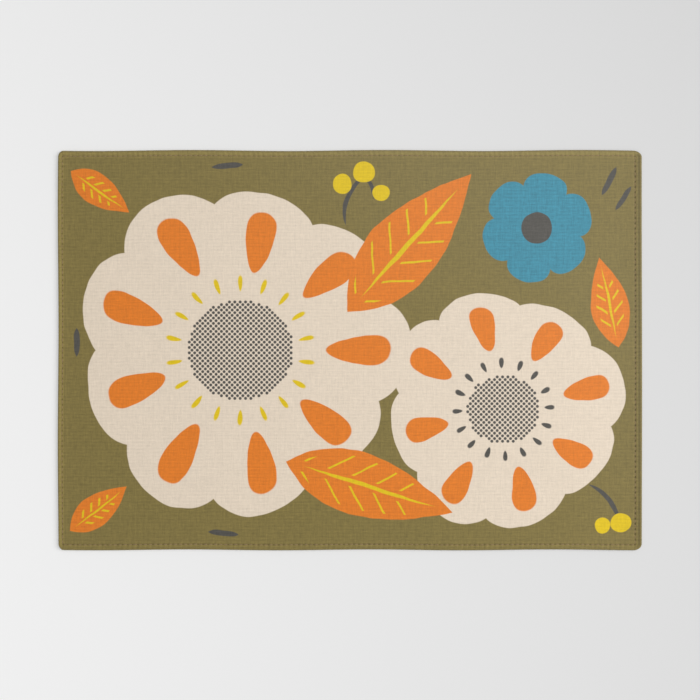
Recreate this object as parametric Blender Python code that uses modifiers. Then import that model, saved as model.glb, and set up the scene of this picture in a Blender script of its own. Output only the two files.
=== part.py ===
"""A small flat-woven floor rug, lying flat.

It is one sheet of cloth. Each edge is turned under once and sewn down, so the rim is two
layers thick. A furrow where the seam pulls the layers together runs all the way round.
"""

import math
from collections import namedtuple

import bmesh
import bpy

# Sizes in metres. X runs along the rug, Y across it, and Z up from the floor.
LENGTH = 0.905
WIDTH = 0.619
HEM_THICKNESS = 0.0038
CLOTH_THICKNESS = 0.0020
RIM_ROUNDING = 0.0012
ROUNDING_STEPS = 3
# Only the rim is sharper than this before it is rounded. The furrow's slopes are gentler.
SHARP_ANGLE = math.radians(60)
FIELD_STEP = 0.016

# The hem, row by row from the rim inwards. inset is a share of the distance from the rim
# to the seam, and height is the top of the cloth above the floor.
HemRow = namedtuple("HemRow", "inset height")
HEM_ROWS = (
    HemRow(inset=0.00, height=0.0032),
    HemRow(inset=0.24, height=0.0037),
    HemRow(inset=0.50, height=HEM_THICKNESS),
    HemRow(inset=0.78, height=0.0035),
    HemRow(inset=1.00, height=0.0026),
    HemRow(inset=1.24, height=0.0032),
    HemRow(inset=1.60, height=0.0030),
    HemRow(inset=2.00, height=CLOTH_THICKNESS),
)
# The rows out to this one turn the corners in an arc. Those inside it meet square.
CORNER_ROW = 5

# Each edge: how far in its seam runs, and the slow wave that it lies in. The wave has a
# height, a number of waves along the edge, and the part of a turn that it starts at.
Edge = namedtuple("Edge", "seam wave waves start")
LEFT = Edge(seam=0.0075, wave=0.0006, waves=1.7, start=0.55)
RIGHT = Edge(seam=0.0095, wave=0.0003, waves=1.0, start=0.59)
FRONT = Edge(seam=0.0082, wave=0.0007, waves=3.2, start=0.79)
BACK = Edge(seam=0.0077, wave=0.0008, waves=3.0, start=0.32)
# How far into the cloth an edge's wave is felt.
WAVE_REACH = 0.060

OLIVE = (0.245, 0.200, 0.085)
CLOTH_ROUGHNESS = 0.92


def clear_scene():
    for obj in list(bpy.data.objects):
        bpy.data.objects.remove(obj, do_unlink=True)


def cloth_material():
    material = bpy.data.materials.new("woven_cloth")
    material.use_nodes = True
    shader = material.node_tree.nodes["Principled BSDF"]
    shader.inputs["Base Color"].default_value = (*OLIVE, 1.0)
    shader.inputs["Roughness"].default_value = CLOTH_ROUGHNESS
    shader.inputs["Metallic"].default_value = 0.0
    material.diffuse_color = (*OLIVE, 1.0)
    return material


def grid_lines(size, low, high):
    """Places across the cloth, from its low edge to its high one: the hem's rows at each
    edge, and even steps over the field between them."""
    first = [-size / 2 + row.inset * low.seam for row in HEM_ROWS]
    last = [size / 2 - row.inset * high.seam for row in reversed(HEM_ROWS)]
    steps = round((last[0] - first[-1]) / FIELD_STEP)
    step = (last[0] - first[-1]) / steps
    return first + [first[-1] + step * n for n in range(1, steps)] + last


def rows_in(index, count):
    """How many rows in from its nearer edge a grid line lies."""
    return min(index, count - 1 - index)


def corner_place(across, along):
    """A point of a corner's square block moved onto the arcs that turn the corner. Both
    numbers run from 0 at the block's inner corner to 1 at the rim."""
    far = max(across, along)
    if far == 0:
        return 0.0, 0.0
    angle = math.radians(45) * min(across, along) / far
    near_side, far_side = far * math.sin(angle), far * math.cos(angle)
    return (far_side, near_side) if across >= along else (near_side, far_side)


def turned_corner(x, y, row_x, row_y):
    """x and y on the rounded outline, for a point that lies in one of the corner blocks."""
    if max(row_x, row_y) > CORNER_ROW:
        return x, y
    reach = HEM_ROWS[CORNER_ROW].inset
    block_x = reach * (LEFT if x < 0 else RIGHT).seam
    block_y = reach * (FRONT if y < 0 else BACK).seam
    share_x = 1 - HEM_ROWS[row_x].inset / reach
    share_y = 1 - HEM_ROWS[row_y].inset / reach
    place_x, place_y = corner_place(share_x, share_y)
    new_x = LENGTH / 2 - block_x * (1 - place_x)
    new_y = WIDTH / 2 - block_y * (1 - place_y)
    return math.copysign(new_x, x), math.copysign(new_y, y)


def wave_of(edge, along, distance):
    """How far outwards an edge's wave carries a point at that distance from the edge."""
    fade = max(0.0, 1 - distance / WAVE_REACH)
    turns = edge.waves * along + edge.start
    return edge.wave * math.cos(math.tau * turns) * fade * fade


def waved(x, y):
    """A point of the straight-edged outline, moved as the cloth lies."""
    along_x, along_y = x / LENGTH + 0.5, y / WIDTH + 0.5
    out_right = wave_of(RIGHT, along_y, LENGTH / 2 - x)
    out_left = wave_of(LEFT, along_y, LENGTH / 2 + x)
    out_back = wave_of(BACK, along_x, WIDTH / 2 - y)
    out_front = wave_of(FRONT, along_x, WIDTH / 2 + y)
    return x + out_right - out_left, y + out_back - out_front


def centred(places):
    """The places moved so that the middle of the outline is at the origin."""
    middle = [(min(axis) + max(axis)) / 2 for axis in zip(*places)]
    return [(x - middle[0], y - middle[1]) for x, y in places]


def cloth_mesh():
    """The underside of the rug as a flat grid, and each of its points' share of the hem's
    thickness."""
    lines_x = grid_lines(LENGTH, LEFT, RIGHT)
    lines_y = grid_lines(WIDTH, FRONT, BACK)
    bm = bmesh.new()
    bmesh.ops.create_grid(bm, x_segments=len(lines_x) - 1, y_segments=len(lines_y) - 1, size=0.5)
    places, shares = [], []
    for vert in bm.verts:
        column = round((vert.co.x + 0.5) * (len(lines_x) - 1))
        line = round((vert.co.y + 0.5) * (len(lines_y) - 1))
        row_x = rows_in(column, len(lines_x))
        row_y = rows_in(line, len(lines_y))
        corner = turned_corner(lines_x[column], lines_y[line], row_x, row_y)
        places.append(waved(*corner))
        row = min(row_x, row_y, len(HEM_ROWS) - 1)
        shares.append(HEM_ROWS[row].height / HEM_THICKNESS)
    for vert, (x, y) in zip(bm.verts, centred(places)):
        vert.co = (x, y, 0.0)
    mesh = bpy.data.meshes.new("rug")
    bm.to_mesh(mesh)
    bm.free()
    return mesh, shares


def make_rug(collection):
    mesh, shares = cloth_mesh()
    mesh.materials.append(cloth_material())
    mesh.shade_smooth()
    rug = bpy.data.objects.new("rug", mesh)
    collection.objects.link(rug)

    thickness = rug.vertex_groups.new(name="thickness")
    for index, share in enumerate(shares):
        thickness.add([index], share, "REPLACE")
    layers = rug.modifiers.new("layers_of_cloth", "SOLIDIFY")
    layers.thickness = HEM_THICKNESS
    layers.offset = 1.0
    layers.vertex_group = thickness.name

    rim = rug.modifiers.new("rounded_rim", "BEVEL")
    rim.limit_method = "ANGLE"
    rim.angle_limit = SHARP_ANGLE
    rim.width = RIM_ROUNDING
    rim.segments = ROUNDING_STEPS
    return rug


clear_scene()
parts = bpy.data.collections.new("Rug")
bpy.context.scene.collection.children.link(parts)
make_rug(parts)
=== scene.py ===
"""The dressed look of a small flat-woven rug with a printed face, lying on a pale floor."""

import math
import random
from collections import namedtuple

import bmesh
import bpy
import numpy as np
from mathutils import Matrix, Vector, noise


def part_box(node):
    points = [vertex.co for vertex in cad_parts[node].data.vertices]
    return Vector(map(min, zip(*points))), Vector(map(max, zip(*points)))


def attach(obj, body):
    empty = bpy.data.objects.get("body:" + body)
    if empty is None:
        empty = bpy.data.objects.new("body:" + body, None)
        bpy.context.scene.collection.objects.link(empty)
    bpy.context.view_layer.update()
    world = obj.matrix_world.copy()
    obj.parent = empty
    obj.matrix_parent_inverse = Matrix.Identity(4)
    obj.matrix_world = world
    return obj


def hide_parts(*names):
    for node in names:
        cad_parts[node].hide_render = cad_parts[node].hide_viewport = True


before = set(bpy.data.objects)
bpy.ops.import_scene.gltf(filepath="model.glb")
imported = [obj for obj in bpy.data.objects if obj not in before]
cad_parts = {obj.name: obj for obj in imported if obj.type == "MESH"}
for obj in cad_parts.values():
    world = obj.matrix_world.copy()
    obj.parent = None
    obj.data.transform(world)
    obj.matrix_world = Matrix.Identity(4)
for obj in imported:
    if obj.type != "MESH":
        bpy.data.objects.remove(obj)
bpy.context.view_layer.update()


# The cloth. It is one rectangle of thick plain-woven cloth, printed on its face. Each edge
# is turned under once and sewn down, which leaves a round nose at the rim, a furrow along
# the seam and, on the underside, a cut edge a little way inside the seam.

# Sizes are in metres. X runs along the rug, Y across it, and Z up from the floor.
rug_low, rug_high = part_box("rug")
LENGTH, WIDTH = (rug_high - rug_low).xy
# A stitch's length on the front and back edges, and on the left and right ones.
LONG_STITCH, SIDE_STITCH = 0.0078, 0.0080
CUTS_IN_A_STITCH = 4
# Points of the net that are nearer to each other than this are one point.
SAME_POINT = SIDE_STITCH / 1000
# This keeps divisions from being by nought.
TINY = 1e-9

# The hem's rows from the rim inwards. inset is a share of the distance from the rim to the
# seam. top and under are the heights of the cloth's two sides above the floor.
HemRow = namedtuple("HemRow", "inset top under")
HEM_ROWS = (
    HemRow(inset=0.00, top=0.00190, under=0.00190),
    HemRow(inset=0.03, top=0.00262, under=0.00118),
    HemRow(inset=0.08, top=0.00320, under=0.00062),
    HemRow(inset=0.15, top=0.00362, under=0.00028),
    HemRow(inset=0.23, top=0.00379, under=0.00008),
    HemRow(inset=0.31, top=0.00380, under=0.00001),
    HemRow(inset=0.40, top=0.00374, under=0.00000),
    HemRow(inset=0.50, top=0.00360, under=0.00000),
    HemRow(inset=0.60, top=0.00344, under=0.00000),
    HemRow(inset=0.70, top=0.00328, under=0.00000),
    HemRow(inset=0.79, top=0.00314, under=0.00000),
    HemRow(inset=0.87, top=0.00304, under=0.00000),
    HemRow(inset=0.94, top=0.00299, under=0.00000),
    HemRow(inset=1.00, top=0.00298, under=0.00000),
    HemRow(inset=1.06, top=0.00299, under=0.00000),
    HemRow(inset=1.14, top=0.00300, under=0.00000),
    HemRow(inset=1.24, top=0.00299, under=0.00000),
    HemRow(inset=1.38, top=0.00295, under=0.00000),
    HemRow(inset=1.46, top=0.00291, under=0.00132),
    HemRow(inset=1.70, top=0.00274, under=0.00098),
    HemRow(inset=2.10, top=0.00248, under=0.00056),
    HemRow(inset=2.70, top=0.00222, under=0.00022),
    HemRow(inset=3.50, top=0.00204, under=0.00005),
    HemRow(inset=4.50, top=0.00200, under=0.00000),
)
INSETS = np.array([row.inset for row in HEM_ROWS])
# The rows out to this inset turn the corners in an arc. Those inside it meet square.
CORNER_REACH = 1.24
# The turned strip's last row before its cut edge, and the first row of the plain back.
STRIP_END, BACK_START = 1.38, 1.46

# Each edge: how far in its seam runs, how tightly the seam pulls, the painted light and shade
# on the print near the rim (outer), beside the seam (inner) and just inside it, above 1 where
# light is painted and below 1 where shade is, and the slow wave that the edge lies in. The wave
# has a height, a number of waves, and the part of a turn it starts at. It fades out at
# WAVE_REACH from the rim.
Edge = namedtuple("Edge", "seam pull outer inner inside wave waves start")
LEFT = Edge(
    seam=0.0065, pull=0.8, outer=1.27, inner=1.24, inside=1.42, wave=0.0006, waves=1.7, start=0.55
)
RIGHT = Edge(
    seam=0.0105, pull=1.4, outer=0.73, inner=1.08, inside=0.98, wave=0.0003, waves=1.0, start=0.59
)
FRONT = Edge(
    seam=0.0082, pull=0.8, outer=1.03, inner=1.12, inside=1.04, wave=0.0007, waves=3.2, start=0.79
)
BACK = Edge(
    seam=0.0083, pull=0.4, outer=1.24, inner=1.20, inside=1.10, wave=0.0008, waves=3.0, start=0.32
)
WAVE_REACH = 0.060

# How far the thread pulls the cloth's two sides in along the seam, how far the needle's holes
# sink and how much painted shade darkens them, how far the hem puckers between them, and how
# far the cloth inside the seam does. The puckers slant across the hem by a share of a stitch.
FURROW_DEPTH, FURROW_WIDTH = 0.00035, 0.0012
UNDER_FURROW_DEPTH = 0.00030
HOLE_DEPTH, HOLE_WIDTH, HOLE_SHADE = 0.00090, 0.0011, 0.44
PUCKER_HEIGHT, PUCKER_SLANT = 0.00022, 0.45
RIPPLE_HEIGHT, RIPPLE_REACH = 0.00010, 0.70
# How far from the rim, and from the seam, puckers and ripples are at their full height.
RIM_CALM, SEAM_CALM = 0.30, 0.15
# The right-hand hem's turned edge shows through as a second groove nearer the rim. The last
# size is how soon it starts past the corners, as an inset.
GROOVE_PLACE, GROOVE_DEPTH, GROOVE_WIDTH, GROOVE_RISE = 0.46, 0.00055, 0.13, 0.5
# The field doesn't lie dead flat: the size and the height of its swells, the inset at which
# they start, and over how much more they grow.
SWELL_SIZE, SWELL_HEIGHT = 0.085, 0.00030
SWELL_START, SWELL_RISE = 1.5, 3
# The insets at which each band of painted light and shade along the hem starts, is full,
# wanes and ends.
PAINTED_LIGHT_AND_SHADE_BANDS = {
    "outer": (0.14, 0.34, 0.58, 0.66),
    "inner": (0.58, 0.66, 0.92, 1.00),
    "inside": (1.00, 1.12, 1.30, 1.46),
}
# How sharply an edge's own values give way to the next edge's at a corner.
CORNER_SHARPNESS = 4


def grid_lines(size, low, high, stitch):
    """Places across the cloth: the hem's rows at each edge, and a stitch's step between."""
    first = -size / 2 + INSETS * low.seam
    last = size / 2 - INSETS[::-1] * high.seam
    steps = round((last[0] - first[-1]) / stitch)
    return np.concatenate([first, np.linspace(first[-1], last[0], steps + 1)[1:-1], last])


def shares(x, y):
    """How far in points lie from the nearer side edge, and from the nearer of the front and
    back edges, as shares of those edges' seam distances."""
    side = np.minimum((LENGTH / 2 + x) / LEFT.seam, (LENGTH / 2 - x) / RIGHT.seam)
    end = np.minimum((WIDTH / 2 + y) / FRONT.seam, (WIDTH / 2 - y) / BACK.seam)
    return side, end


def runs_along_hem(edge):
    """Whether a line of the net follows the rim, in the rows that the stitches pucker."""
    first, second = (vert.co for vert in edge.verts)
    middle = (first + second) / 2
    side, end = shares(middle.x, middle.y)
    inset = end if abs(first.x - second.x) > abs(first.y - second.y) else side
    return inset <= BACK_START and edge.calc_length() > SIDE_STITCH / 2


def flat_net():
    """Both sides of the cloth as flat nets that share their rim, finer along the hem. The
    layer named under is 1 on the underside."""
    lines_x = grid_lines(LENGTH, LEFT, RIGHT, LONG_STITCH)
    lines_y = grid_lines(WIDTH, FRONT, BACK, SIDE_STITCH)
    last_x, last_y = len(lines_x) - 1, len(lines_y) - 1
    net = bmesh.new()
    bmesh.ops.create_grid(net, x_segments=last_x, y_segments=last_y, size=0.5)
    for vert in net.verts:
        vert.co.x = lines_x[round((vert.co.x + 0.5) * last_x)]
        vert.co.y = lines_y[round((vert.co.y + 0.5) * last_y)]
    along = [edge for edge in net.edges if runs_along_hem(edge)]
    bmesh.ops.subdivide_edges(net, edges=along, cuts=CUTS_IN_A_STITCH, use_grid_fill=True)
    under = net.verts.layers.float.new("under")
    copied = bmesh.ops.duplicate(net, geom=net.faces[:])["geom"]
    for part in copied:
        if isinstance(part, bmesh.types.BMVert):
            part[under] = 1.0
    underside = [part for part in copied if isinstance(part, bmesh.types.BMFace)]
    bmesh.ops.reverse_faces(net, faces=underside)
    rim = [vert for vert in net.verts if vert.is_boundary]
    bmesh.ops.remove_doubles(net, verts=rim, dist=SAME_POINT)
    return net


def turned_corners(x, y):
    """Points of the straight net, with the hem's rows turned in arcs at the corners."""
    side, end = shares(x, y)
    inside = (side < CORNER_REACH) & (end < CORNER_REACH)
    across, along = 1 - side / CORNER_REACH, 1 - end / CORNER_REACH
    far = np.maximum(np.maximum(across, along), TINY)
    angle = math.radians(45) * np.minimum(across, along) / far
    near_part, far_part = far * np.sin(angle), far * np.cos(angle)
    place_x = np.where(across >= along, far_part, near_part)
    place_y = np.where(across >= along, near_part, far_part)
    block_x = CORNER_REACH * np.where(x < 0, LEFT.seam, RIGHT.seam)
    block_y = CORNER_REACH * np.where(y < 0, FRONT.seam, BACK.seam)
    new_x = np.copysign(LENGTH / 2 - block_x * (1 - place_x), x)
    new_y = np.copysign(WIDTH / 2 - block_y * (1 - place_y), y)
    return np.where(inside, new_x, x), np.where(inside, new_y, y)


def wave_of(edge, along, distance):
    """How far outwards an edge's wave carries points at that distance from the edge."""
    fade = np.maximum(0, 1 - distance / WAVE_REACH)
    return edge.wave * np.cos(math.tau * (edge.waves * along + edge.start)) * fade * fade


def waved(x, y):
    """Points of the straight-edged outline, moved as the cloth lies."""
    along_x, along_y = x / LENGTH + 0.5, y / WIDTH + 0.5
    out_right = wave_of(RIGHT, along_y, LENGTH / 2 - x)
    out_left = wave_of(LEFT, along_y, LENGTH / 2 + x)
    out_back = wave_of(BACK, along_x, WIDTH / 2 - y)
    out_front = wave_of(FRONT, along_x, WIDTH / 2 + y)
    return x + out_right - out_left, y + out_back - out_front


def stitch_turns(x, y):
    """How many stitches along its own seam each point lies."""
    side, end = shares(x, y)
    run_x = np.array([-LENGTH / 2 + LEFT.seam, LENGTH / 2 - RIGHT.seam])
    run_y = np.array([-WIDTH / 2 + FRONT.seam, WIDTH / 2 - BACK.seam])
    along_x = (x - run_x[0]) / np.ptp(run_x) * round(np.ptp(run_x) / LONG_STITCH)
    along_y = (y - run_y[0]) / np.ptp(run_y) * round(np.ptp(run_y) / SIDE_STITCH)
    return np.where(side < end, along_y, along_x)


def hill(distance, width):
    return np.exp(-(distance / width) ** 2)


def by_edge(x, y, name):
    """The named value of each point's own edge, blended from edge to edge round the corners."""
    side, end = shares(x, y)
    from_side, from_end = side ** CORNER_SHARPNESS, end ** CORNER_SHARPNESS
    towards_end = from_side / (from_side + from_end + TINY)
    at_side = np.where(x < 0, getattr(LEFT, name), getattr(RIGHT, name))
    at_end = np.where(y < 0, getattr(FRONT, name), getattr(BACK, name))
    return at_side * (1 - towards_end) + at_end * towards_end


def from_seam(x, y):
    """How far inwards from the seam points lie, in metres."""
    return (np.minimum(*shares(x, y)) - 1) * by_edge(x, y, "seam")


def needle_holes(x, y):
    """How deep points lie in a needle's hole, as a share. There is one at each stitch's end."""
    hole = (0.5 + 0.5 * np.cos(math.tau * stitch_turns(x, y))) ** 2
    return by_edge(x, y, "pull") * hole * hill(from_seam(x, y), HOLE_WIDTH)


def hem_painted_light_and_shade(x, y):
    """Painted light and shade on the print: hem bands, shaded needle holes, and 1 on the field.
    """
    inset = np.minimum(*shares(x, y))
    tone = 1
    for name, band in PAINTED_LIGHT_AND_SHADE_BANDS.items():
        tone = tone + (by_edge(x, y, name) - 1) * np.interp(inset, band, (0, 1, 1, 0))
    return tone * (1 - HOLE_SHADE * needle_holes(x, y))


def furrow(x, y):
    """How far into the furrow along the seam points lie, as a share."""
    return by_edge(x, y, "pull") * hill(from_seam(x, y), FURROW_WIDTH)


def top_height(x, y):
    """The height of the printed side above the floor at points of the straight net."""
    side, end = shares(x, y)
    inset = np.minimum(side, end)
    turns = stitch_turns(x, y)
    height = np.interp(inset, INSETS, [row.top for row in HEM_ROWS])
    height = height - FURROW_DEPTH * furrow(x, y) - HOLE_DEPTH * needle_holes(x, y)
    slanted = np.cos(math.tau * (turns + PUCKER_SLANT * (1 - inset)))
    on_hem = np.clip(inset / RIM_CALM, 0, 1) * np.clip((1 - inset) / SEAM_CALM, 0, 1)
    height = height - PUCKER_HEIGHT * slanted * on_hem
    past = inset - 1
    inwards = np.clip(past / SEAM_CALM, 0, 1) * np.exp(-past.clip(0) / RIPPLE_REACH)
    height = height - RIPPLE_HEIGHT * np.cos(math.tau * turns) * inwards
    on_right = (x > 0) * np.clip((end - side) / GROOVE_RISE, 0, 1)
    height = height - GROOVE_DEPTH * hill(inset - GROOVE_PLACE, GROOVE_WIDTH) * on_right
    swells = np.array([noise.noise(Vector((a, b, 0)) / SWELL_SIZE) for a, b in zip(x, y)])
    return height + SWELL_HEIGHT * swells * np.clip((inset - SWELL_START) / SWELL_RISE, 0, 1)


def under_height(x, y):
    """The height of the underside above the floor at points of the straight net."""
    inset = np.minimum(*shares(x, y))
    height = np.interp(inset, INSETS, [row.under for row in HEM_ROWS])
    return height + UNDER_FURROW_DEPTH * furrow(x, y)


# At how many points of each edge the outline is measured.
OUTLINE_POINTS = 400


def laid(x, y):
    """Where points of the straight net lie on the floor, fitted to the solid's outline."""
    run, full = np.linspace(-1, 1, OUTLINE_POINTS), np.ones(OUTLINE_POINTS)
    ring_x = np.concatenate([run, run, -full, full]) * (LENGTH / 2)
    ring_y = np.concatenate([-full, full, run, run]) * (WIDTH / 2)
    outline = np.array(waved(*turned_corners(ring_x, ring_y)))
    low, high = outline.min(1), outline.max(1)
    points = np.array(waved(*turned_corners(x, y)))
    fitted = (points - ((low + high) / 2)[:, None]) / (high - low)[:, None]
    return fitted[0] * LENGTH, fitted[1] * WIDTH


# The bake's map: the printed side takes the top two thirds of the square at full width, and
# the underside lies below it, at a smaller scale. The nose's rows are spread out, or they
# would have no width there.
MAP_MARGIN = 0.005
NOSE_SPREAD, NOSE_INSET = 0.0019, 0.34
UNDERSIDE_SCALE = 0.42
MAP_SPLIT = 0.305


def add_bake_map(mesh, x, y, under):
    """Lays out the bake's map. Faces with at least half their corners underneath go below."""
    side, end = shares(x, y)
    spread_x = NOSE_SPREAD * np.clip(1 - side / NOSE_INSET, 0, 1) ** 2
    spread_y = NOSE_SPREAD * np.clip(1 - end / NOSE_INSET, 0, 1) ** 2
    full = LENGTH + 2 * NOSE_SPREAD
    across = (x + np.copysign(spread_x, x) + full / 2) / full * (1 - 2 * MAP_MARGIN)
    up = (y + np.copysign(spread_y, y) + WIDTH / 2 + NOSE_SPREAD) / full * (1 - 2 * MAP_MARGIN)
    corner_verts = np.zeros(len(mesh.loops), np.int32)
    mesh.loops.foreach_get("vertex_index", corner_verts)
    face_sizes = np.zeros(len(mesh.polygons), np.int32)
    mesh.polygons.foreach_get("loop_total", face_sizes)
    faces = np.repeat(np.arange(len(face_sizes)), face_sizes)
    share_under = np.bincount(faces, under[corner_verts]) / face_sizes
    on_underside = share_under[faces] >= 0.5
    scale = np.where(on_underside, UNDERSIDE_SCALE, 1)
    lift = np.where(on_underside, 0, MAP_SPLIT)
    places = np.empty((len(corner_verts), 2), np.float32)
    places[:, 0] = MAP_MARGIN + across[corner_verts] * scale
    places[:, 1] = MAP_MARGIN + up[corner_verts] * scale + lift
    bake_map = mesh.uv_layers.new(name="OFBake")
    bake_map.data.foreach_set("uv", places.ravel())


# Where faces meet at a sharper angle than this, in degrees, the cloth shows an edge.
SHARP_ANGLE = 50


def make_cloth():
    net = flat_net()
    mesh = bpy.data.meshes.new("rug_cloth")
    net.to_mesh(mesh)
    net.free()
    places = np.zeros(len(mesh.vertices) * 3)
    mesh.vertices.foreach_get("co", places)
    x, y, _ = places.reshape(-1, 3).T
    under = np.zeros(len(x))
    mesh.attributes["under"].data.foreach_get("value", under)
    below = under > 0.5
    height = np.where(below, under_height(x, y), top_height(x, y))
    inset = np.minimum(*shares(x, y))
    printed = np.where(below, np.interp(inset, [STRIP_END, BACK_START], [1, 0]), 1)
    mesh.attributes.new("printed", "FLOAT", "POINT").data.foreach_set("value", printed)
    # Painted light and shade along the hem, and painted shade in the needle's holes, on the
    # printed side.
    tone = np.where(below, 1, hem_painted_light_and_shade(x, y))
    mesh.attributes.new("hem_painted_light_and_shade", "FLOAT", "POINT").data.foreach_set("value", tone)
    add_bake_map(mesh, x, y, under)
    mesh.vertices.foreach_set("co", np.stack([*laid(x, y), height], 1).ravel())
    mesh.shade_smooth()
    mesh.set_sharp_from_angle(angle=math.radians(SHARP_ANGLE))
    mesh.update()
    cloth = bpy.data.objects.new("rug_cloth", mesh)
    bpy.context.scene.collection.objects.link(cloth)
    return cloth


class Signal:
    """One output of a shader node. Arithmetic on it adds Math nodes to the same tree."""

    def __init__(self, socket):
        self.socket = socket

    @staticmethod
    def node(tree, kind, settings, sockets, output=0):
        """Adds a node with its settings, then its sockets' values or links."""
        made = tree.nodes.new(kind)
        for name, value in settings.items():
            setattr(made, name, value)
        for name, value in sockets.items():
            if isinstance(value, Signal):
                tree.links.new(value.socket, made.inputs[name])
            else:
                made.inputs[name].default_value = value
        return Signal(made.outputs[output])

    @staticmethod
    def maths(operation, *values, clamp=False):
        tree = next(value for value in values if isinstance(value, Signal)).socket.id_data
        settings = {"operation": operation, "use_clamp": clamp}
        return Signal.node(tree, "ShaderNodeMath", settings, dict(enumerate(values)))

    def vector(self, operation, *others, output=0, **named):
        """Vector maths. Only the operation SCALE has a socket that is given by its name."""
        sockets = dict(enumerate((self, *others))) | named
        settings = {"operation": operation}
        return Signal.node(self.socket.id_data, "ShaderNodeVectorMath", settings, sockets, output)

    def __add__(self, other):
        return Signal.maths("ADD", self, other)

    def __sub__(self, other):
        return Signal.maths("SUBTRACT", self, other)

    def __rsub__(self, other):
        return Signal.maths("SUBTRACT", other, self)

    def __mul__(self, other):
        return Signal.maths("MULTIPLY", self, other)

    def __truediv__(self, other):
        return Signal.maths("DIVIDE", self, other)

    def __abs__(self):
        return Signal.maths("ABSOLUTE", self)

    __radd__, __rmul__ = __add__, __mul__


def parts_of(vector):
    """A vector's x and y, or a colour's red and green."""
    split = Signal.node(vector.socket.id_data, "ShaderNodeSeparateXYZ", {}, {"Vector": vector})
    return split, Signal(split.socket.node.outputs["Y"])


def mixed(amount, first, second):
    """Two colours mixed. A Mix node's colours are its sockets 6 and 7, and its third output."""
    tree = amount.socket.id_data
    settings = {"data_type": "RGBA"}
    return Signal.node(tree, "ShaderNodeMix", settings, {0: amount, 6: first, 7: second}, 2)


def smooth_noise(vector, size, detail=1.0, output="Fac"):
    """Blender's noise, with hills of that size in the vector's own measure."""
    sockets = {"Vector": vector, "Scale": 1 / size, "Detail": detail}
    return Signal.node(vector.socket.id_data, "ShaderNodeTexNoise", {}, sockets, output)


# The weave is plain: each yarn goes over one and under the next, both ways alike. The yarn is
# spun unevenly, so that thick stretches show as short lines. Sizes are in millimetres.
YARN = 1.355
SLUB_LENGTH, SLUB_STEP = 14, 1.1
YARN_HEIGHT, SLUB_HEIGHT = 0.16, 0.10
FIBRE_HEIGHT, FIBRE_SIZE = 0.03, 0.5
# Every fourth yarn along the rug and every sixth across it is a little thicker, by these
# shares of the slubs, which shows as a faint grid. It comes and goes in short dashes.
ROW_REPEAT, ROW_THICKER = 4, 0.090
COLUMN_REPEAT, COLUMN_THICKER = 6, 0.042
DASH_LENGTH, DASH_CONTRAST = 4.0, 6.0
# Where the noise starts for the yarns along the rug, and for those across it.
WEFT_NOISE, WARP_NOISE = 0.0, 60.0
MILLIMETRE = 0.001


def yarn_unevenness(tree, along, number, offset, repeat, thicker):
    """How thick one yarn is along its length. Its number picks its own stretch of noise,
    a little like its neighbours', so that slubs show two or three yarns wide."""
    sockets = {"X": along / SLUB_LENGTH, "Y": number * SLUB_STEP + offset}
    line = Signal.node(tree, "ShaderNodeCombineXYZ", {}, sockets)
    slubs = smooth_noise(line, 1.0, detail=2.0) - 0.5
    regular = Signal.maths("COSINE", number * (math.tau / repeat)) * thicker
    dashes = smooth_noise(line, DASH_LENGTH / SLUB_LENGTH) - 0.5
    return slubs + regular * (dashes * DASH_CONTRAST + 1)


def weave(tree, place):
    """The height of the woven yarns in millimetres, and their unevenness."""
    x, y = parts_of(place)
    column, row = x / YARN, y / YARN
    warp_number = Signal.maths("FLOOR", column)
    weft_number = Signal.maths("FLOOR", row)
    warp_round = Signal.maths("SINE", (column - warp_number) * math.pi)
    weft_round = Signal.maths("SINE", (row - weft_number) * math.pi)
    weft_up = Signal.maths("SINE", (column + weft_number) * math.pi)
    warp_up = Signal.maths("SINE", (row + warp_number + 1) * math.pi)
    weft_top = weft_round * (weft_up * 0.5 + 0.5)
    warp_top = warp_round * (warp_up * 0.5 + 0.5)
    woven = Signal.maths("MAXIMUM", weft_top, warp_top)
    weft_slub = yarn_unevenness(tree, x, weft_number, WEFT_NOISE, ROW_REPEAT, ROW_THICKER)
    warp_slub = yarn_unevenness(
        tree, y, warp_number, WARP_NOISE, COLUMN_REPEAT, COLUMN_THICKER
    )
    slub = weft_slub + warp_slub
    fibre = smooth_noise(place, FIBRE_SIZE, detail=2.0) - 0.5
    height = woven * YARN_HEIGHT + slub * SLUB_HEIGHT + fibre * FIBRE_HEIGHT
    return height, slub


# The print is a generic one of flowers and leaves, flat inks cut out like paper shapes on an
# olive ground. Sizes and places are in millimetres from the middle of the rug.
OLIVE = (0.210, 0.1635, 0.050, 1)
CREAM = (0.752, 0.642, 0.515, 1)
ORANGE = (0.726, 0.198, 0.020, 1)
BLUE = (0.048, 0.250, 0.345, 1)
YELLOW = (0.716, 0.511, 0.010, 1)
CHARCOAL = (0.082, 0.077, 0.068, 1)
PLAIN_BACK = (0.620, 0.560, 0.460, 1)
# How wide an ink's soft edge is, how far the shapes' cut edges stray, and over what length.
INK_BLEED = 0.9
CUT_WOBBLE, WOBBLE_SIZE = 5.0, 34.0
# The fine dots' pitch, their radius as a share of it, and their grid's slant in degrees.
DOT_PITCH, DOT_RADIUS, DOT_SLANT = 5.87, 0.40, 45

# A bloom's rays are given by their colour, where it has any.
Bloom = namedtuple("Bloom", "x y petals turn reach width heart rays", defaults=(None,))
CREAM_BLOOMS = (
    Bloom(x=-170, y=0, petals=9, turn=0.0, reach=256, width=172, heart=82, rays=YELLOW),
    Bloom(x=238, y=-92, petals=8, turn=0.3, reach=184, width=138, heart=56, rays=CHARCOAL),
)
BLUE_BLOOM = Bloom(x=290, y=190, petals=6, turn=0.3, reach=86, width=66, heart=24)

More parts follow.
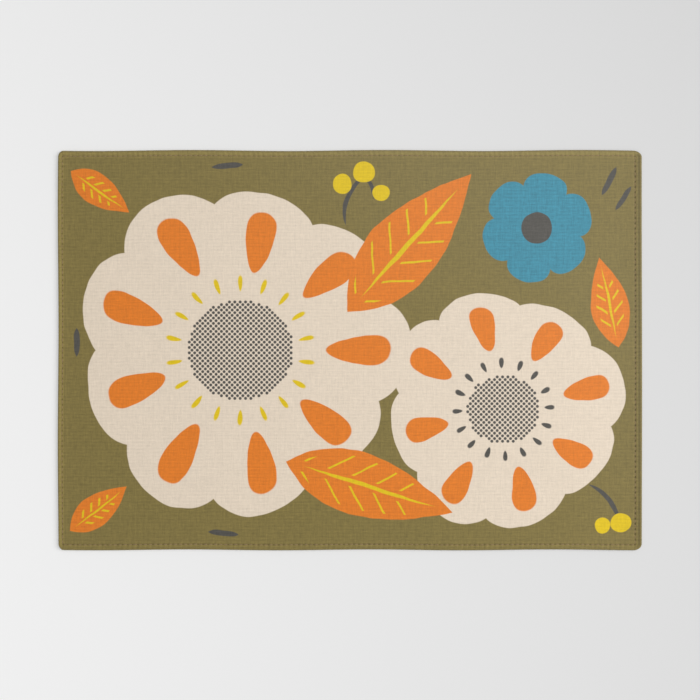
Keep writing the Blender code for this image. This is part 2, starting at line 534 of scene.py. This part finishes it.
# A motif's bend is how far its ends bow sideways, in half widths.
Motif = namedtuple("Motif", "x y angle length width bend", defaults=(0,))
LEAVES = (
    Motif(x=92, y=166, angle=48, length=286, width=108),
    Motif(x=30, y=-212, angle=-17, length=270, width=96),
    Motif(x=402, y=74, angle=102, length=142, width=58),
    Motif(x=-388, y=246, angle=-36, length=112, width=48),
    Motif(x=-390, y=-246, angle=38, length=112, width=48),
)
STEMS = (
    Motif(x=4, y=236, angle=66, length=86, width=7, bend=4),
    Motif(x=29, y=256, angle=118, length=46, width=6, bend=-2),
    Motif(x=398, y=-236, angle=-52, length=78, width=7, bend=3),
    Motif(x=402, y=262, angle=62, length=48, width=9),
    Motif(x=424, y=236, angle=58, length=44, width=8),
    Motif(x=-424, y=12, angle=88, length=44, width=9),
    Motif(x=-190, y=286, angle=4, length=48, width=9),
    Motif(x=-196, y=-284, angle=-5, length=48, width=9),
)
BERRIES = (
    Motif(x=22, y=276, angle=0, length=34, width=32),
    Motif(x=-12, y=258, angle=0, length=30, width=31),
    Motif(x=48, y=244, angle=0, length=26, width=25),
    Motif(x=420, y=-268, angle=0, length=32, width=30),
    Motif(x=392, y=-272, angle=0, length=24, width=25),
)


def inked(under, depth, ink):
    """The colour under, with ink over it where depth, in millimetres, is above nought."""
    return mixed(Signal.maths("MULTIPLY_ADD", depth, 1 / INK_BLEED, 0.5, clamp=True), under, ink)


def own_place(place, motif):
    """The place in a motif's own measure, in which it reaches from -1 to 1 both ways."""
    sockets = {
        "Vector": place,
        "Location": (motif.x, motif.y, 0),
        "Rotation": (0, 0, math.radians(motif.angle)),
        "Scale": (motif.length / 2, motif.width / 2, 1),
    }
    settings = {"vector_type": "TEXTURE"}
    return Signal.node(place.socket.id_data, "ShaderNodeMapping", settings, sockets)


def oval(place, motif):
    """How deep a place lies in an oval, in millimetres."""
    away = own_place(place, motif).vector("LENGTH", output="Value")
    return (1 - away) * (min(motif.length, motif.width) / 2)


def petal_place(place, bloom, petals, turn):
    """A place measured from a flower's middle: out along the nearest petal, and across it,
    with the place's angle. turn is where the first petal points, as a share of a step."""
    x, y = parts_of(place.vector("SUBTRACT", (bloom.x, bloom.y, 0)))
    radius = Signal.maths("SQRT", x * x + y * y)
    angle = Signal.maths("ARCTAN2", y, x)
    step = math.tau / petals
    middle = Signal.maths("ROUND", angle / step - turn) * step + turn * step
    swing = angle - middle
    return radius * Signal.maths("COSINE", swing), radius * Signal.maths("SINE", swing), angle


def petal(along, across, start, end, width, swell):
    """How deep a place lies in a petal from start to end, in millimetres. It is an oval that
    is wider towards its outer end by the share swell."""
    half = (end - start) * 0.5
    out = (along - (end + start) * 0.5) / half
    side = across / (width / 2) * (1 - out * swell)
    return (1 - Signal.maths("SQRT", out * out + side * side)) * (width / 2)


# A flower's parts, as shares of its petals' reach or width: where a petal starts, how wide the
# disc behind the heart is, and an orange tongue's ends and width. A ray's ends are shares of
# the heart's size, and its width is in millimetres.
PETAL_START, DISC_SIZE = 0.18, 1.04
TONGUE_START, TONGUE_END, TONGUE_WIDTH = 0.50, 0.88, 0.25
RAY_START, RAY_END, RAY_WIDTH = 1.13, 1.42, 7
# How much wider petals, tongues and rays are towards their outer ends, as shares.
CREAM_SWELL, BLUE_SWELL, TONGUE_SWELL, RAY_SWELL = 0.22, 0.25, 0.4, 0.3
# The petals of a cream flower differ in reach by this share, in three slow waves round it. Its
# heart is a little less high than wide, where 2 would make it round.
REACH_CHANGE, REACH_WAVES, REACH_START = 0.045, 3, 1
HEART_HEIGHT = 1.9


def cream_bloom(under, place, dots, dot_place, bloom):
    """A cream flower: petals with an orange tongue each, and rays round a dotted heart."""
    along, across, angle = petal_place(place, bloom, bloom.petals, bloom.turn)
    waves = Signal.maths("SINE", angle * REACH_WAVES + REACH_START)
    reach = (waves * REACH_CHANGE + 1) * bloom.reach
    blade = petal(along, across, reach * PETAL_START, reach, bloom.width, CREAM_SWELL)
    colour = inked(under, blade, CREAM)
    disc = Motif(bloom.x, bloom.y, 0, bloom.reach * DISC_SIZE, bloom.reach * DISC_SIZE)
    colour = inked(colour, oval(place, disc), CREAM)
    tongue_ends = reach * TONGUE_START, reach * TONGUE_END
    tongue = petal(along, across, *tongue_ends, bloom.width * TONGUE_WIDTH, TONGUE_SWELL)
    colour = inked(colour, tongue, ORANGE)
    ray_along, ray_across, _ = petal_place(place, bloom, bloom.petals * 2, bloom.turn * 2 + 0.5)
    ray_ends = bloom.heart * RAY_START, bloom.heart * RAY_END
    ray = petal(ray_along, ray_across, *ray_ends, RAY_WIDTH, RAY_SWELL)
    colour = inked(colour, ray, bloom.rays)
    heart = Motif(bloom.x, bloom.y, 0, bloom.heart * 2, bloom.heart * HEART_HEIGHT)
    in_heart = Signal.maths("GREATER_THAN", oval(dot_place, heart), 0)
    return mixed(dots * in_heart, colour, CHARCOAL)


def blue_bloom(under, place, bloom):
    """A blue flower with a charcoal heart."""
    along, across, _ = petal_place(place, bloom, bloom.petals, bloom.turn)
    blade_ends = bloom.reach * PETAL_START, bloom.reach
    blade = petal(along, across, *blade_ends, bloom.width, BLUE_SWELL)
    colour = inked(under, blade, BLUE)
    heart = Motif(bloom.x, bloom.y, 0, bloom.heart * 2, bloom.heart * 2)
    return inked(colour, oval(place, heart), CHARCOAL)


# A leaf's veins: how many to each half of its length, how far they slant, how thick they are
# and how far they stay from its edge in millimetres, and how far towards its tip they grow.
VEINS, VEIN_SLANT, VEIN_THICKNESS, VEIN_MARGIN, VEIN_REACH = 3.5, 1.3, 4.2, 9.0, 0.6
# Its midrib: how wide it is, how slowly it tapers, and how many such widths from the middle
# the veins start. Then how far the leaf's widest part is set back from its middle.
RIB_WIDTH, RIB_TAPER, RIB_MARGIN = 0.11, 0.6, 1.6
LEAF_SKEW = 0.3


def leaf(under, place, motif):
    """An orange leaf with a yellow midrib and slanting veins."""
    along, across = parts_of(own_place(place, motif))
    side = abs(across)
    length, half_width = motif.length / 2, motif.width / 2
    blade = (1 - along * along - side * (along * LEAF_SKEW + 1)) * half_width
    colour = inked(under, blade, ORANGE)
    rib = ((RIB_TAPER - along * along) * RIB_WIDTH - side) * half_width
    turns = along * VEINS - side * VEIN_SLANT
    between = abs(turns - Signal.maths("ROUND", turns)) * (length / VEINS)
    vein = Signal.maths("MINIMUM", VEIN_THICKNESS / 2 - between, blade - VEIN_MARGIN)
    vein = Signal.maths("MINIMUM", vein, (side - RIB_WIDTH * RIB_MARGIN) * half_width)
    vein = Signal.maths("MINIMUM", vein, (VEIN_REACH - along) * length)
    return inked(colour, Signal.maths("MAXIMUM", rib, vein), YELLOW)


def stroke(place, motif):
    """How deep a place lies in a blunt stroke that may be bowed, in millimetres."""
    along, across = parts_of(own_place(place, motif))
    square = along * along
    bowed = abs(across + (square - 0.5) * motif.bend)
    return (1 - square * square - bowed) * (motif.width / 2)


def halftone(tree, place):
    """Round dots on a slanting square grid, and for each place the middle of its own dot."""
    grid = {
        "Vector": place,
        "Location": (0, 0, 0),
        "Rotation": (0, 0, math.radians(DOT_SLANT)),
        "Scale": (DOT_PITCH, DOT_PITCH, 1),
    }
    cells = Signal.node(tree, "ShaderNodeMapping", {"vector_type": "TEXTURE"}, grid)
    middles = cells.vector("FLOOR").vector("ADD", (0.5, 0.5, 0))
    away = cells.vector("DISTANCE", middles, output="Value")
    dots = Signal.maths(
        "MULTIPLY_ADD", DOT_RADIUS - away, DOT_PITCH / INK_BLEED, 0.5, clamp=True
    )
    dot_place = Signal.node(
        tree, "ShaderNodeMapping", {"vector_type": "POINT"}, {**grid, "Vector": middles}
    )
    return dots, dot_place


def printed_colour(tree, true_place):
    """The inks at a place. A slow wobble gives the shapes the edges of hand-cut paper."""
    wobble = smooth_noise(true_place, WOBBLE_SIZE, output="Color").vector("SUBTRACT", (0.5,) * 3)
    place = true_place.vector("ADD", wobble.vector("SCALE", Scale=CUT_WOBBLE))
    place = place.vector("MULTIPLY", (1, 1, 0))
    dots, dot_place = halftone(tree, true_place.vector("MULTIPLY", (1, 1, 0)))
    colour = OLIVE
    for bloom in CREAM_BLOOMS:
        colour = cream_bloom(colour, place, dots, dot_place, bloom)
    colour = blue_bloom(colour, place, BLUE_BLOOM)
    for motif in STEMS:
        colour = inked(colour, stroke(place, motif), CHARCOAL)
    for motif in LEAVES:
        colour = leaf(colour, place, motif)
    for motif in BERRIES:
        colour = inked(colour, oval(place, motif), YELLOW)
    return colour


# How much the yarns' unevenness changes the colour, most on dark and cool inks, and how much
# a broad unevenness of the dye does. A little of the print shows through on the plain back.
YARN_TONE, PALE_CALM = 0.60, 0.89
DYE_TONE, DYE_SIZE = 0.06, 70.0
STRIKE_THROUGH = 0.10
# The print is painted paler towards its right-hand end, a painted sheen and light of up to this
# share of white. It leans, so that the back is painted a little paler than the front too.
PAINTED_SHEEN, PAINTED_SHEEN_LEAN, WHITE = 0.023, 1.1, (1, 1, 1, 1)
# The cloth is matt, a little more so on thick yarns, with the faint sheen of loose fibres.
CLOTH_ROUGHNESS, ROUGHNESS_CHANGE = 0.80, 0.10
CLOTH_SHINE, CLOTH_SHEEN, SHEEN_ROUGHNESS = 0.30, 0.03, 0.5


def cloth_material():
    material = bpy.data.materials.new("printed_plain_weave")
    material.use_nodes = True
    tree = material.node_tree
    shader = tree.nodes["Principled BSDF"]
    shader.inputs["Specular IOR Level"].default_value = CLOTH_SHINE
    shader.inputs["Sheen Weight"].default_value = CLOTH_SHEEN
    shader.inputs["Sheen Roughness"].default_value = SHEEN_ROUGHNESS
    metres = Signal.node(tree, "ShaderNodeTexCoord", {}, {}, "Object")
    place = metres.vector("SCALE", Scale=1 / MILLIMETRE)
    inks = printed_colour(tree, place)
    printed = Signal.node(tree, "ShaderNodeAttribute", {"attribute_name": "printed"}, {}, "Fac")
    showing = printed * (1 - STRIKE_THROUGH) + STRIKE_THROUGH
    colour = mixed(showing, PLAIN_BACK, inks)
    height, slub = weave(tree, place)
    red, green = parts_of(colour)
    pale = (red + green) * 0.5
    dye = smooth_noise(place, DYE_SIZE, detail=3.0) - 0.5
    tone = slub * (1 - pale * PALE_CALM) * YARN_TONE + dye * DYE_TONE + 1
    # A layer of painted light and shade along the hem, and painted shade in the needle's holes.
    hem = Signal.node(tree, "ShaderNodeAttribute", {"attribute_name": "hem_painted_light_and_shade"}, {}, "Fac")
    toned = colour.vector("SCALE", Scale=tone * hem)
    # Painted sheen and light: white mixed into the print, more towards the right-hand end and the
    # back.
    x, y = parts_of(metres)
    across = x + y * PAINTED_SHEEN_LEAN
    rightwards = Signal.maths("MULTIPLY_ADD", across, 1 / LENGTH, 0.5, clamp=True)
    sheened = mixed(rightwards * rightwards * PAINTED_SHEEN, toned, WHITE)
    tree.links.new(sheened.socket, shader.inputs["Base Color"])
    roughness = CLOTH_ROUGHNESS + slub * ROUGHNESS_CHANGE
    tree.links.new(roughness.socket, shader.inputs["Roughness"])
    relief = {"Strength": 1.0, "Distance": MILLIMETRE, "Height": height}
    bump = Signal.node(tree, "ShaderNodeBump", {}, relief)
    tree.links.new(bump.socket, shader.inputs["Normal"])
    return material


cloth = make_cloth()
cloth.data.materials.append(cloth_material())
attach(cloth, "root")
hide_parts("rug")


# The sewing. One seam of brown thread runs round the rug and holds the hem down. Each stitch
# lies in the furrow and dips into the needle's holes at its ends, and the lower thread shows
# on the underside in the same way.
THREAD_RADIUS = 0.00045
STITCH_SHOWN = 0.66
THREAD_POINTS = 7
# How far a stitch's middle stands out of the cloth, and how far its ends sink below that.
STITCH_PROUD, END_SINK = 0.00018, 0.00070
# How far a stitch strays sideways, and how much its length and height vary.
STRAY, LENGTH_CHANGE, HEIGHT_CHANGE = 0.00026, 0.16, 0.00010
CHANCE_SEED = 8


def stitch_line(start, end, chance):
    """Where one stitch runs on the straight net, and how far out of the cloth it stands."""
    part = np.linspace(-1, 1, THREAD_POINTS)
    reach = STITCH_SHOWN / 2 * (1 + chance.uniform(-LENGTH_CHANGE, LENGTH_CHANGE))
    along = 0.5 + part * reach
    side = Vector((start.y - end.y, end.x - start.x)).normalized()
    strays = chance.uniform(-STRAY, STRAY), chance.uniform(-STRAY, STRAY)
    stray = np.linspace(*strays, THREAD_POINTS)
    x = start.x + (end.x - start.x) * along + side.x * stray
    y = start.y + (end.y - start.y) * along + side.y * stray
    raised = STITCH_PROUD + chance.uniform(-HEIGHT_CHANGE, HEIGHT_CHANGE)
    return x, y, raised - END_SINK * part ** 4


def seam_runs():
    """The corners of the seam, one pair for each edge, with the edge's length of stitch."""
    left, right = -LENGTH / 2 + LEFT.seam, LENGTH / 2 - RIGHT.seam
    front, back = -WIDTH / 2 + FRONT.seam, WIDTH / 2 - BACK.seam
    corners = [Vector(c) for c in ((left, front), (right, front), (right, back), (left, back))]
    return zip(corners, corners[1:] + corners[:1], (LONG_STITCH, SIDE_STITCH) * 2)


def add_stitch(curve, x, y, height):
    thread = curve.splines.new("POLY")
    thread.points.add(len(x) - 1)
    places = np.stack([*laid(x, y), height, np.ones(len(x))], 1)
    thread.points.foreach_set("co", places.ravel())
    thread.use_smooth = True


def make_sewing():
    chance = random.Random(CHANCE_SEED)
    curve = bpy.data.curves.new("hem_sewing", "CURVE")
    curve.dimensions = "3D"
    curve.bevel_depth = THREAD_RADIUS
    curve.bevel_resolution = 1
    curve.use_fill_caps = True
    for start, end, stitch in seam_runs():
        count = round((end - start).length / stitch)
        for n in range(count):
            ends = start.lerp(end, n / count), start.lerp(end, (n + 1) / count)
            x, y, proud = stitch_line(*ends, chance)
            add_stitch(curve, x, y, top_height(x, y) + proud)
            x, y, proud = stitch_line(*ends, chance)
            # The lower thread presses into the cloth where the floor leaves it no room.
            add_stitch(curve, x, y, np.maximum(under_height(x, y) - proud, THREAD_RADIUS))
    holder = bpy.data.objects.new("hem_sewing_line", curve)
    bpy.context.scene.collection.objects.link(holder)
    bpy.context.view_layer.update()
    graph = bpy.context.evaluated_depsgraph_get()
    mesh = bpy.data.meshes.new_from_object(holder.evaluated_get(graph))
    bpy.data.objects.remove(holder)
    mesh.name = "hem_sewing"
    sewing = bpy.data.objects.new("hem_sewing", mesh)
    bpy.context.scene.collection.objects.link(sewing)
    return sewing


# The brown, and a darker brown that is partly random tone and partly painted shade.
THREAD_BROWN = (0.395, 0.258, 0.155, 1)
THREAD_DARK_AND_SHADE = (0.240, 0.168, 0.096, 1)
# The twist's pitch and height and the size of the fluff, in millimetres, and how much of the
# thread's colour comes from each of the two. The darker colour is partly a random tone of the
# fluff and partly painted shade between the twist's bands.
TWIST, TWIST_HEIGHT, FLUFF_SIZE = 0.9, 0.10, 1.5
TWIST_SHARE, FLUFF_SHARE = 0.6, 0.4
# The thread is matt, a little less so on the raised bands of its twist.
THREAD_ROUGHNESS, BAND_GLOSS, THREAD_SHINE = 0.95, 0.2, 0.3


def thread_material():
    """Twisted brown thread. The twist shows as slanting bands, with painted shade between them.
    """
    material = bpy.data.materials.new("brown_sewing_thread")
    material.use_nodes = True
    tree = material.node_tree
    shader = tree.nodes["Principled BSDF"]
    shader.inputs["Specular IOR Level"].default_value = THREAD_SHINE
    metres = Signal.node(tree, "ShaderNodeTexCoord", {}, {}, "Object")
    place = metres.vector("SCALE", Scale=1 / MILLIMETRE)
    x, y = parts_of(place)
    band = Signal.maths("SINE", (x + y) * (math.tau / TWIST)) * 0.5 + 0.5
    fluff = smooth_noise(place, FLUFF_SIZE, detail=3.0)
    amount = Signal.maths("MULTIPLY_ADD", band, TWIST_SHARE, fluff * FLUFF_SHARE, clamp=True)
    colour = mixed(amount, THREAD_DARK_AND_SHADE, THREAD_BROWN)
    tree.links.new(colour.socket, shader.inputs["Base Color"])
    roughness = THREAD_ROUGHNESS - band * BAND_GLOSS
    tree.links.new(roughness.socket, shader.inputs["Roughness"])
    relief = {"Strength": 1.0, "Distance": MILLIMETRE, "Height": band * TWIST_HEIGHT}
    bump = Signal.node(tree, "ShaderNodeBump", {}, relief)
    tree.links.new(bump.socket, shader.inputs["Normal"])
    return material


sewing = make_sewing()
sewing.data.materials.append(thread_material())
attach(sewing, "root")
# The cut size is the finished size with the strip that is turned under along each edge.
cut_length = LENGTH + STRIP_END * (LEFT.seam + RIGHT.seam)
cut_width = WIDTH + STRIP_END * (FRONT.seam + BACK.seam)


# The floor is one plain pale sheet, laid flat and wide enough to run past the picture's edges.
# It is matt, and painted light in its colour makes it lighter to the left and darker to the
# right.
# It lies a hair below the cloth, because two surfaces in one plane show through each other.
FLOOR_SIZE, FLOOR_DROP, FLOOR_SQUARES = 8.0, 0.00005, 8
FLOOR_ROUGHNESS, FLOOR_SHINE = 0.95, 0.1
FLOOR_LEFT, FLOOR_RIGHT = (0.968, 0.968, 0.968, 1), (0.592, 0.592, 0.592, 1)
# The painted light changes over this width. It leans, so that the front is painted a little
# lighter too.
FLOOR_CHANGE_WIDTH, FLOOR_CHANGE_LEAN = 1.4, 0.22


def make_floor():
    mesh = bpy.data.meshes.new("floor")
    net = bmesh.new()
    squares = {"x_segments": FLOOR_SQUARES, "y_segments": FLOOR_SQUARES}
    bmesh.ops.create_grid(net, **squares, size=FLOOR_SIZE / 2)
    net.to_mesh(mesh)
    net.free()
    floor = bpy.data.objects.new("floor", mesh)
    floor.location.z = -FLOOR_DROP
    bpy.context.scene.collection.objects.link(floor)
    material = bpy.data.materials.new("pale_floor")
    material.use_nodes = True
    tree = material.node_tree
    shader = tree.nodes["Principled BSDF"]
    shader.inputs["Roughness"].default_value = FLOOR_ROUGHNESS
    shader.inputs["Specular IOR Level"].default_value = FLOOR_SHINE
    x, y = parts_of(Signal.node(tree, "ShaderNodeTexCoord", {}, {}, "Object"))
    # The colour carries painted light, lighter to the left.
    across = x + y * FLOOR_CHANGE_LEAN
    share = Signal.maths("MULTIPLY_ADD", across, 1 / FLOOR_CHANGE_WIDTH, 0.5, clamp=True)
    colour = mixed(share, FLOOR_LEFT, FLOOR_RIGHT)
    tree.links.new(colour.socket, shader.inputs["Base Color"])
    mesh.materials.append(material)
    return floor


make_floor()


# The light is an even pale surround with two soft lamps. The wide one straight above leaves
# hardly any shadow at the rim. The low one to the right brings out the hem, and leaves a soft
# shadow along the rug's left edge.
SURROUND = 0.40
Lamp = namedtuple("Lamp", "name place length width watts")
LAMPS = (
    Lamp(name="wide_lamp", place=Vector((0, 0, 5)), length=4.0, width=4.0, watts=102),
    Lamp(name="low_lamp", place=Vector((2.58, 0.30, 1.75)), length=2.2, width=1.8, watts=54),
)

world = bpy.data.worlds.new("pale_surround")
world.use_nodes = True
world.node_tree.nodes["Background"].inputs["Color"].default_value = (1, 1, 1, 1)
world.node_tree.nodes["Background"].inputs["Strength"].default_value = SURROUND
bpy.context.scene.world = world

for lamp in LAMPS:
    light = bpy.data.lights.new(lamp.name, "AREA")
    light.shape = "RECTANGLE"
    light.size, light.size_y = lamp.length, lamp.width
    light.energy = lamp.watts
    stand = bpy.data.objects.new(lamp.name, light)
    stand.location = lamp.place
    stand.rotation_euler = (-lamp.place).to_track_quat("-Z", "Y").to_euler()
    bpy.context.scene.collection.objects.link(stand)


# The camera looks straight down on the rug, from far enough to show the width below. The last
# two sizes set it a little to one side, so that the rug lies where the photograph has it.
LENS, SENSOR = 85, 36
VIEW_WIDTH = 1.0845
CAMERA_X, CAMERA_Y = 0.00010, 0.00027

view = bpy.data.cameras.new("straight_down")
view.lens, view.sensor_width = LENS, SENSOR
camera = bpy.data.objects.new("straight_down", view)
camera.location = (CAMERA_X, CAMERA_Y, VIEW_WIDTH * LENS / SENSOR + rug_high.z)
bpy.context.scene.collection.objects.link(camera)
bpy.context.scene.camera = camera
bpy.context.scene.view_settings.view_transform = "Standard"
